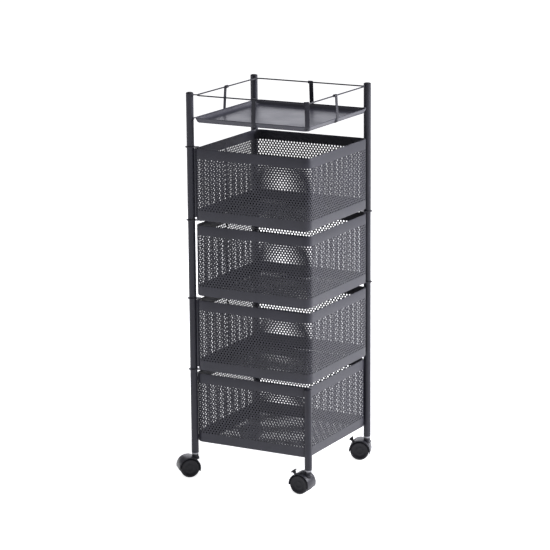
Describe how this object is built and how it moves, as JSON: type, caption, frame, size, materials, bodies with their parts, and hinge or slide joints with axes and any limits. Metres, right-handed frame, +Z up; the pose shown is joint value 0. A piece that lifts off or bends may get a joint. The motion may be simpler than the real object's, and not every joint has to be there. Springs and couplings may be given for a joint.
{
  "type": "rolling basket cart",
  "caption": "Tall rolling pantry cart with a railed top tray and square perforated baskets that swing out around corner posts, on swivel casters.",
  "frame": {"origin": "on the floor, at the middle of the footprint with the casters as they stand", "axes": "+Z up; -Y is the front, towards the wide front left face in view; +X is the side with the short front right post"},
  "size_m": [0.3978, 0.403, 1.0053],
  "materials": {
    "post_paint": "fine-textured charcoal powder coat",
    "basket_paint": "fine-textured charcoal powder coat over perforated sheet",
    "tray_paint": "satin charcoal powder coat",
    "rail_paint": "satin charcoal powder coat",
    "eyelet_paint": "charcoal powder coat, rubbed at the eye",
    "zinc_steel": "zinc plated",
    "cap_plastic": "moulded matte",
    "hood_nylon": "moulded satin nylon",
    "wheel_nylon": "moulded nylon, scuffed tread",
    "lever_nylon": "moulded matte"
  },
  "bodies": {
    "cart_frame": {"front_left_post_tube_1": "post_paint", "front_left_post_tube_2": "post_paint", "front_left_post_tube_3": "post_paint", "front_left_post_tube_4": "post_paint", "front_left_post_tube_5": "post_paint", "front_left_joint_stud_1": "zinc_steel", "front_left_joint_stud_2": "zinc_steel", "front_left_joint_stud_3": "zinc_steel", "front_left_joint_stud_4": "zinc_steel", "front_left_post_cap": "cap_plastic", "back_right_post_tube_1": "post_paint", "back_right_post_tube_2": "post_paint", "back_right_post_tube_3": "post_paint", "back_right_joint_stud_1": "zinc_steel", "back_right_joint_stud_2": "zinc_steel", "back_right_post_cap": "cap_plastic", "back_left_post_tube_1": "post_paint", "back_left_post_tube_2": "post_paint", "back_left_joint_stud_1": "zinc_steel", "back_left_post_cap": "cap_plastic", "front_right_post_tube": "post_paint", "bottom_basket": "basket_paint", "tray": "tray_paint", "tray_rail": "rail_paint", "front_rail_strip": "rail_paint", "right_rail_strip": "rail_paint", "back_rail_strip": "rail_paint", "left_rail_strip": "rail_paint", "corner_rail_strip": "rail_paint", "front_left_caster_stem": "zinc_steel", "front_right_caster_stem": "zinc_steel", "back_right_caster_stem": "zinc_steel", "back_left_caster_stem": "zinc_steel"},
    "top_basket_swing_body": {"top_basket": "basket_paint", "top_basket_upper_eyelet": "eyelet_paint", "top_basket_lower_eyelet": "eyelet_paint"},
    "second_basket_swing_body": {"second_basket": "basket_paint", "second_basket_upper_eyelet": "eyelet_paint", "second_basket_lower_eyelet": "eyelet_paint"},
    "third_basket_swing_body": {"third_basket": "basket_paint", "third_basket_upper_eyelet": "eyelet_paint", "third_basket_lower_eyelet": "eyelet_paint"},
    "front_left_caster": {"front_left_caster_hood": "hood_nylon", "front_left_caster_axle": "zinc_steel"},
    "front_left_outer_wheel_body": {"front_left_outer_wheel": "wheel_nylon"},
    "front_left_inner_wheel_body": {"front_left_inner_wheel": "wheel_nylon"},
    "front_right_caster": {"front_right_caster_hood": "hood_nylon", "front_right_caster_axle": "zinc_steel"},
    "front_right_outer_wheel_body": {"front_right_outer_wheel": "wheel_nylon"},
    "front_right_inner_wheel_body": {"front_right_inner_wheel": "wheel_nylon"},
    "back_right_caster": {"back_right_caster_hood": "hood_nylon", "back_right_caster_axle": "zinc_steel"},
    "back_right_outer_wheel_body": {"back_right_outer_wheel": "wheel_nylon"},
    "back_right_inner_wheel_body": {"back_right_inner_wheel": "wheel_nylon"},
    "back_left_caster": {"back_left_caster_hood": "hood_nylon", "back_left_caster_axle": "zinc_steel"},
    "back_left_outer_wheel_body": {"back_left_outer_wheel": "wheel_nylon"},
    "back_left_inner_wheel_body": {"back_left_inner_wheel": "wheel_nylon"},
    "front_right_brake": {"front_right_brake_lever": "lever_nylon"},
    "back_right_brake": {"back_right_brake_lever": "lever_nylon"}
  },
  "joints": [
    {"name": "top_basket_swing", "type": "hinge", "parent": "cart_frame", "child": "top_basket_swing_body", "pos_m": [-0.15011, -0.15423, 0.771], "axis": [0, 0, 1], "range_deg": [-260, 0]},
    {"name": "second_basket_swing", "type": "hinge", "parent": "cart_frame", "child": "second_basket_swing_body", "pos_m": [0.18189, 0.17777, 0.575], "axis": [0, 0, 1], "range_deg": [0, 260]},
    {"name": "third_basket_swing", "type": "hinge", "parent": "cart_frame", "child": "third_basket_swing_body", "pos_m": [-0.15011, -0.15423, 0.379], "axis": [0, 0, 1], "range_deg": [-260, 0]},
    {"name": "front_left_caster_swivel", "type": "hinge", "parent": "cart_frame", "child": "front_left_caster", "pos_m": [-0.15011, -0.15423, 0.055], "axis": [0, 0, 1], "continuous": true},
    {"name": "front_left_outer_wheel_spin", "type": "hinge", "parent": "front_left_caster", "child": "front_left_outer_wheel_body", "pos_m": [-0.16328, -0.1665, 0.025], "axis": [-0.682, 0.7314, 0], "continuous": true},
    {"name": "front_left_inner_wheel_spin", "type": "hinge", "parent": "front_left_caster", "child": "front_left_inner_wheel_body", "pos_m": [-0.16328, -0.1665, 0.025], "axis": [-0.682, 0.7314, 0], "continuous": true},
    {"name": "front_right_caster_swivel", "type": "hinge", "parent": "cart_frame", "child": "front_right_caster", "pos_m": [0.18189, -0.15423, 0.055], "axis": [0, 0, 1], "continuous": true},
    {"name": "front_right_outer_wheel_spin", "type": "hinge", "parent": "front_right_caster", "child": "front_right_outer_wheel_body", "pos_m": [0.16389, -0.15423, 0.025], "axis": [0, 1, 0], "continuous": true},
    {"name": "front_right_inner_wheel_spin", "type": "hinge", "parent": "front_right_caster", "child": "front_right_inner_wheel_body", "pos_m": [0.16389, -0.15423, 0.025], "axis": [0, 1, 0], "continuous": true},
    {"name": "back_right_caster_swivel", "type": "hinge", "parent": "cart_frame", "child": "back_right_caster", "pos_m": [0.18189, 0.17777, 0.055], "axis": [0, 0, 1], "continuous": true},
    {"name": "back_right_outer_wheel_spin", "type": "hinge", "parent": "back_right_caster", "child": "back_right_outer_wheel_body", "pos_m": [0.16497, 0.17162, 0.025], "axis": [-0.342, 0.9397, 0], "continuous": true},
    {"name": "back_right_inner_wheel_spin", "type": "hinge", "parent": "back_right_caster", "child": "back_right_inner_wheel_body", "pos_m": [0.16497, 0.17162, 0.025], "axis": [-0.342, 0.9397, 0], "continuous": true},
    {"name": "back_left_caster_swivel", "type": "hinge", "parent": "cart_frame", "child": "back_left_caster", "pos_m": [-0.15011, 0.17777, 0.055], "axis": [0, 0, 1], "continuous": true},
    {"name": "back_left_outer_wheel_spin", "type": "hinge", "parent": "back_left_caster", "child": "back_left_outer_wheel_body", "pos_m": [-0.16794, 0.17527, 0.025], "axis": [-0.1392, 0.9903, 0], "continuous": true},
    {"name": "back_left_inner_wheel_spin", "type": "hinge", "parent": "back_left_caster", "child": "back_left_inner_wheel_body", "pos_m": [-0.16794, 0.17527, 0.025], "axis": [-0.1392, 0.9903, 0], "continuous": true},
    {"name": "front_right_brake_press", "type": "hinge", "parent": "front_right_caster", "child": "front_right_brake", "pos_m": [0.1508, -0.15423, 0.03808], "axis": [0, 1, 0], "range_deg": [-12, 0]},
    {"name": "back_right_brake_press", "type": "hinge", "parent": "back_right_caster", "child": "back_right_brake", "pos_m": [0.15268, 0.16714, 0.03808], "axis": [-0.342, 0.9397, 0], "range_deg": [-12, 0]}
  ]
}
